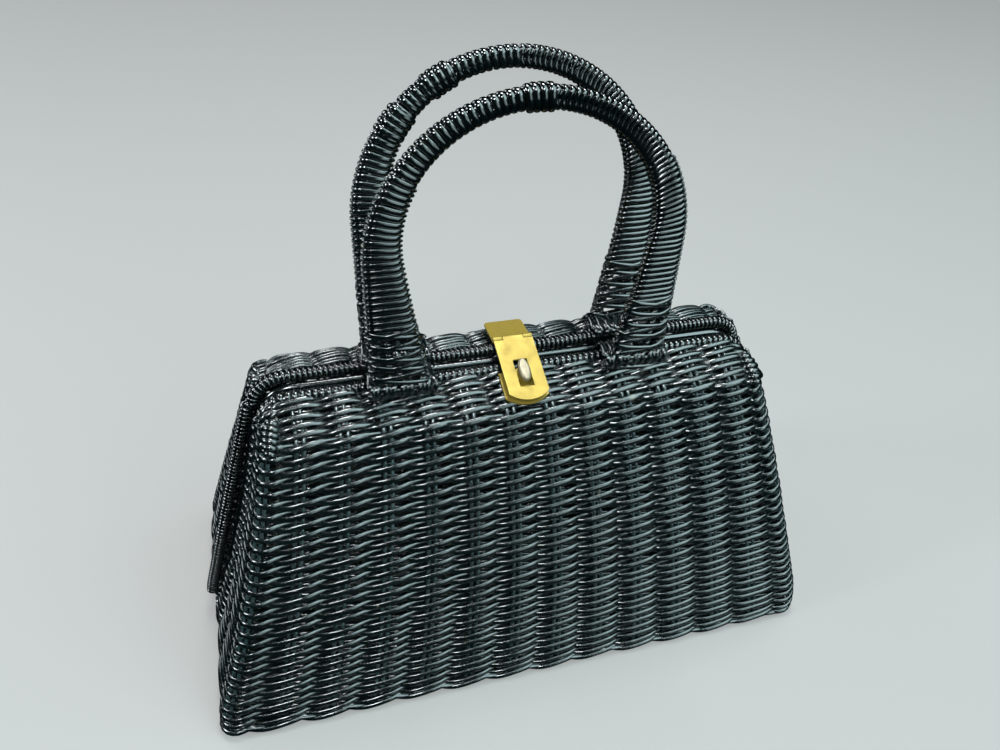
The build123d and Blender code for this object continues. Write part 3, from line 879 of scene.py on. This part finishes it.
front_rim = rim_line("front", top=136.8, low=122.0, corner_radius=11.0, y=-4.2, inset=2.2)
front_inner = rim_line("front", top=132.5, low=8.0, corner_radius=9.0, y=-2.4, inset=5.5)
back_rim = rim_line("back", top=140.0, low=11.0, corner_radius=13.0, y=5.0, inset=-1.0)
back_inner = rim_line("back", top=136.4, low=11.0, corner_radius=10.0, y=2.0, inset=4.5)
front_wrap = winding(front_rim, FORWARDS, radius=2.3, pitch=2.6, width=1.18, thickness=0.6)
front_inner_rod, front_rod = rod(front_inner, 2.2), rod(front_rim, 2.1)
piece_from("front_binding_wrap", [front_rod, front_wrap, front_inner_rod], "front_half", binding_cane,
           ["front_rim_binding"])
back_wrap = winding(back_rim, FORWARDS, radius=2.3, pitch=2.05, width=0.95, thickness=0.64, plait=0.45)
back_inner_rod, back_rod = rod(back_inner, 1.7), rod(back_rim, 2.0)
piece_from("back_rim_wrap", [back_rod, back_wrap, back_inner_rod], "back_half", binding_cane,
           ["back_rim_binding"])

# %% [markdown]
# ## Handles
# Each handle is two bent rods side by side. At the top they touch and the cane goes round both
# like one thick cord. Down the legs they part, and the cane goes over them as a flat band. Near
# the foot the strands cross between the rods and leave small windows. A place on a handle is
# its travel along the hoop and its share of the way from the outer rod to the inner one, so
# each strand is only two waves.

# %% Hoop
outer_x, spring, rail_r = 58.1, 57.0, 1.65      # hoop's radius, height of its legs, rods' radius
leg = spring + outer_x * np.pi / 2
whole = 2 * leg
HANDLES = {"front": {"y": -10.9, "lean": np.radians(4.0)}, "back": {"y": 12.2, "lean": np.radians(9.0)}}


def hoop(travel, inset):
    """x and height on the hoop: a straight leg, a half circle and the other leg."""
    other = travel > leg
    travel = np.where(other, whole - travel, travel)
    turn = np.clip((travel - spring) / outer_x, 0, None)
    reach = outer_x - inset
    x = -reach * np.cos(turn)
    height = np.where(travel > spring, spring + reach * np.sin(turn), travel)
    return np.stack([np.where(other, -x, x), height], -1)


def rail_spacing(travel):
    """Distance between the rods, falling as the square of what is left of the leg."""
    travel = np.where(travel > leg, whole - travel, travel)
    return 2.6 + 16.4 * np.minimum(1, 1 - travel / leg) ** 2


def on_handle(half, travel, share, off=0.0):
    """A point at a share of the way from outer to inner rod, lifted off the handle's plane."""
    y, lean = HANDLES[half]["y"], HANDLES[half]["lean"]
    foot = HALVES[half]["knee"] + (knee_depth - abs(y)) * np.tan(HALVES[half]["slope"])
    flat = hoop(travel, rail_spacing(travel) * share)
    up = np.array([0.0, np.sin(lean), np.cos(lean)])
    out = np.array([0.0, -np.cos(lean), np.sin(lean)])
    base = np.array([0.0, y, foot])
    return base + flat[..., :1] * RIGHTWARDS + flat[..., 1:] * up + np.asarray(off)[..., None] * out


def heading(half, travel, share):
    """The handle's direction: the difference of the points half a millimetre each way."""
    return unit(on_handle(half, travel + 0.5, share) - on_handle(half, travel - 0.5, share))


print("a handle is", round(whole), "mm along the hoop and tops out at",
      np.round(on_handle("front", leg, 0.0)[2], 1))

# %% [markdown]
# Four kinds of strand make a handle: cane over both rods, fine turns round one upright, a thin
# cord beside a rod, and a bare rod. The first three share one helper that counts their turns.

# %% Strands on a handle
def coil(start, end, pitch, per_turn):
    """The angle of each point of a coil between two places on the hoop, and its travel."""
    turns = abs(end - start) / pitch
    angle = np.linspace(0, 2 * np.pi * turns, int(turns * per_turn))
    return angle, start + (end - start) * angle / (2 * np.pi * turns)


def over_rails(half, start, end, pitch, radius, width, thickness,
               hand=1, plait=0.0, per_turn=22, phase=0.0, square=3.2):
    """Cane round both rods: across them as a squared-off cosine, round them as a sine.

    With plait above zero each turn is a shallow V that dips between the rods, so its two
    crests read as two rows of beads.
    """
    angle, travel = coil(start, end, pitch, per_turn)
    knots = np.arange(int(abs(end - start) / pitch) + 3)
    travel = travel + np.interp(angle / (2 * np.pi), knots, rng.normal(0, 0.07 * pitch, len(knots)))
    sway = np.cos(angle + phase)
    travel = travel + plait * pitch * np.abs(sway)
    share = 0.5 - 0.5 * np.tanh(square * sway) / np.tanh(square) - sway * radius / rail_spacing(travel)
    dip = 1 - 0.55 * plait * np.exp(-((sway / 0.4) ** 2))
    points = on_handle(half, travel, share, hand * radius * np.sin(angle + phase) * dip)
    return cane(points, heading(half, travel, 0.5), width, thickness, sides=7)


def round_rail(half, start, end, share, radius):
    """Close turns of fine cane round one upright of a foot."""
    angle, travel = coil(start, end, 2.5, 9)
    swing = radius * np.cos(angle) / rail_spacing(travel)
    points = on_handle(half, travel, share + swing, radius * np.sin(angle))
    return cane(points, heading(half, travel, share), 1.15, 0.5, sides=6)


def edge_cord(half, start, end, sign):
    """A thin twisted cord along one edge of the band: a coil of radius 0.45 beside the rod."""
    angle, travel = coil(start, end, 2.2, 7)
    gap = rail_spacing(travel)
    beside = (rail_r + 0.9) / gap
    share = (-beside if sign < 0 else 1 + beside) + 0.45 * np.cos(angle) / gap
    points = on_handle(half, travel, share, 0.45 * np.sin(angle) + 0.6)
    return cane(points, np.array([0.0, -1.0, 0.2]), 0.5, 0.5, sides=5)


def upright(half, start, end, count, share, radius, sides=8):
    """A bare rod along the hoop at one share of the way across."""
    line = on_handle(half, np.linspace(start, end, count), share)
    return cane(line, np.array([0.0, -1.0, 0.1]), radius, radius, sides=sides)


print("handle strands ready")

# %% [markdown]
# One handle is a band over each leg, a plaited stretch on one side of the top, the two rods,
# the open work of the feet, a thin cord down each edge, and lumps where a new length of cane
# starts over the old one.

# %% Handles
plait_end, band_foot = leg + 74, 29
SPLICES = {"front": ((leg - 5, leg + 4),), "back": ((leg - 55, leg - 46), (leg - 33, leg - 23))}


def band(half):
    """Flat cane up one leg, a plaited stretch from the top, and flat cane down the other leg."""
    return [
        over_rails(half, band_foot, leg + 2, pitch=2.72, radius=rail_r + 0.5, width=1.3, thickness=0.62),
        over_rails(half, leg + 2, plait_end, pitch=2.25, radius=rail_r + 0.6, width=1.02, thickness=0.66,
                   plait=0.5),
        over_rails(half, plait_end, whole - band_foot, pitch=2.35, radius=rail_r + 0.5, width=1.13,
                   thickness=0.6),
    ]


def open_foot(half, start, end):
    """Four crossing strands, the wrapped uprights between them and a third, middle rod."""
    strands = []
    for hand, phase in ((1, 0.0), (-1, 0.6), (1, 3.1), (-1, 3.9)):
        strands.append(over_rails(half, start, end, pitch=10.2, radius=rail_r + 1.35, width=1.05,
                                  thickness=0.62, hand=hand, per_turn=30, phase=phase, square=0.9))
    for share, thick in ((0.0, 1.0), (1.0, 1.0), (0.3, 0.85)):
        strands.append(round_rail(half, start, end, share, rail_r * thick + 0.4))
    strands.append(upright(half, start, end, 14, 0.3, 1.3))
    return strands


for half in HANDLES:
    strands = band(half)
    strands += [upright(half, -8, whole + 8, 150, share, rail_r, sides=10) for share in (0.0, 1.0)]
    strands += open_foot(half, -3, 32) + open_foot(half, whole + 3, whole - 32)
    for start, end in ((8, 92), (whole - 8, whole - 92)):
        strands += [edge_cord(half, start, end, sign) for sign in (-1, 1)]
    for start, end in SPLICES[half]:
        strands.append(over_rails(half, start, end, pitch=2.6, radius=rail_r + 1.25, width=1.25,
                                  thickness=0.75))
    rails = [half + "_handle_outer_rail", half + "_handle_inner_rail"]
    piece_from(half + "_handle_cane", strands, half + "_half", binding_cane,
               [half + "_handle_wrap", *rails])

# %% [markdown]
# ## Foot lashings
# Each leg is lashed down to the shoulder and the rim with close turns of the same cane. The
# turns lie round a squared bundle, so their outline is a rounded rectangle, as large as the
# lashings in the frame. Five windings of both hands cross each other and hide the bundle.

# %% Lashings
lash_width, lash_pitch, lash_points = 26.0, 6.6, 26
lash_inset = 9.5        # from the outer rod in to the middle of a lashing
cane_cover = 0.9        # half the thickness of the winding, kept inside the frame's box
LASH_WINDS = ((1, 0.0, 0.0), (-1, 1.0, 0.5), (1, 3.1, 0.1), (-1, 4.1, 0.6), (1, 1.6, 0.2))


def lashing(side, low, high, hand, phase, grow):
    """A winding round a squared bundle: cos and sin are raised to 0.65 with their signs kept."""
    turns = lash_width / lash_pitch
    angle = np.linspace(0, 2 * np.pi * turns, int(turns * lash_points))
    middle, reach = (low + high) / 2, (high - low) / 2 - cane_cover + grow
    x = side * (outer_x - lash_inset) - lash_width / 2 + lash_width * angle / angle[-1]
    bulge = np.stack([np.cos(angle + phase), hand * np.sin(angle + phase)], 1)
    square = np.sign(bulge) * np.abs(bulge) ** 0.65
    points = np.column_stack([x, middle[1:] + reach[1:] * square])
    return cane(points, RIGHTWARDS, 1.12, 0.6, sides=7)


for half in HANDLES:
    low, high = (np.array(spot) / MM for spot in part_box(half + "_handle_lashings"))
    strands = [lashing(side, low, high, *wind) for side in (-1, 1) for wind in LASH_WINDS]
    piece_from(half + "_foot_lashing", strands, half + "_half", binding_cane,
               [half + "_handle_lashings"])

# %% [markdown]
# ## Frame parts that stay
# The hinge rods, the hinge loops and the clasp already have the right shape, so they keep their
# frame meshes and only get a finish.

# %% Finishes on frame parts
FINISHES = dict.fromkeys(("hasp_plate", "hasp_pin", "hasp_leaf", "lock_plate"), brass)
FINISHES["turn_button"] = worn_brass
for name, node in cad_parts.items():
    for material_slot in node.material_slots:
        material_slot.material = FINISHES.get(name, rod_finish)
print(len(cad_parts), "frame parts finished")

# %% [markdown]
# ## Floor, light and camera
# A plain pale floor and soft light. Black lacquer shows mostly what it reflects, so the lights
# are chosen as reflections: four small or middling ones draw thin sharp highlights on each
# stroke, and a broad wall and sky at the front right give the strokes their cool sheen. The
# floor and the pale surroundings are kept out of reflections, which holds the cane dark, and
# the floor glows faintly to stay pale under the little light that reaches it.

# %% Floor
def floor_sheet(size):
    """A flat square below the bag."""
    mesh = bpy.data.meshes.new("floor")
    corners = [(-size, -size, 0), (size, -size, 0), (size, size, 0), (-size, size, 0)]
    mesh.from_pydata(corners, [], [(0, 1, 2, 3)])
    floor = bpy.data.objects.new("floor", mesh)
    bpy.context.scene.collection.objects.link(floor)
    material, shader, _, _ = new_material("pale_floor")
    shader.inputs["Base Color"].default_value = (0.14, 0.137, 0.132, 1)
    shader.inputs["Emission Color"].default_value = (0.95, 0.96, 0.95, 1)
    shader.inputs["Emission Strength"].default_value = 0.22
    shader.inputs["Roughness"].default_value = 0.7
    mesh.materials.append(material)
    floor.visible_glossy = False


floor_sheet(3.0)
world = bpy.data.worlds.new("studio")
world.use_nodes = True
world.node_tree.nodes["Background"].inputs["Color"].default_value = (0.80, 0.86, 0.92, 1)
world.node_tree.nodes["Background"].inputs["Strength"].default_value = 0.45
world.cycles_visibility.glossy = False
bpy.context.scene.world = world
print("floor and surroundings made")

# %% [markdown]
# Area lights are used because their size sets how soft a highlight is. All of them point at
# the middle of the bag and stay out of the camera's sight.

# %% Lights
light_target = np.array([0.0, 0.0, 0.1])


def area_light(name, place, size, power, colour):
    """A soft square light aimed at the middle of the bag, which the camera doesn't see."""
    lamp = bpy.data.lights.new(name, "AREA")
    lamp.shape, lamp.size, lamp.energy, lamp.color = "SQUARE", size, power, colour
    light = bpy.data.objects.new(name, lamp)
    light.visible_camera = False
    light.location = place
    aim = unit(np.array(place) - light_target)
    side = unit(np.cross(UPWARDS, aim))
    light.rotation_euler = Matrix(np.stack([side, np.cross(aim, side), aim], 1).tolist()).to_euler()
    bpy.context.scene.collection.objects.link(light)
    print(name, power, "W")


area_light("overhead", (0.1, 0.35, 1.25), 0.32, 14.0, (0.96, 1.0, 1.0))
area_light("front_above", (-0.35, -0.75, 1.15), 0.26, 12.0, (0.92, 0.99, 1.0))
area_light("left_window", (-1.1, 0.0, 0.65), 0.30, 10.0, (0.85, 0.95, 1.0))
area_light("rear_window", (-1.25, 1.45, 0.85), 0.9, 12.0, (0.86, 0.97, 1.0))
area_light("front_wall", (1.0, -1.8, 0.6), 1.4, 15.0, (0.74, 0.97, 1.0))
area_light("soft_sky", (0.95, -0.6, 1.5), 1.7, 48.0, (0.72, 0.97, 1.0))

# %% [markdown]
# The camera looks down on the bag from the front and a little to its left, with a slight tilt.

# %% Camera
turn, pitch, roll = np.radians([18.03, 41.21, 4.34])
camera_place = (-0.0841, -0.2410, 0.3517)
ahead = np.array([np.sin(turn) * np.cos(pitch), np.cos(turn) * np.cos(pitch), -np.sin(pitch)])
level = np.array([np.cos(turn), -np.sin(turn), 0.0])
above = np.cross(level, ahead)
right = np.cos(roll) * level + np.sin(roll) * above
up = -np.sin(roll) * level + np.cos(roll) * above
lens = bpy.data.cameras.new("camera")
lens.sensor_width, lens.lens = 36.0, 28.8
camera = bpy.data.objects.new("camera", lens)
axes = np.stack([right, up, -ahead], 1)
camera.matrix_world = Matrix.Translation(camera_place) @ Matrix(axes.tolist()).to_4x4()
bpy.context.scene.collection.objects.link(camera)
bpy.context.scene.camera = camera
bpy.context.scene.view_settings.view_transform = "Standard"
print("camera at", camera_place, "with a lens of", lens.lens, "mm")
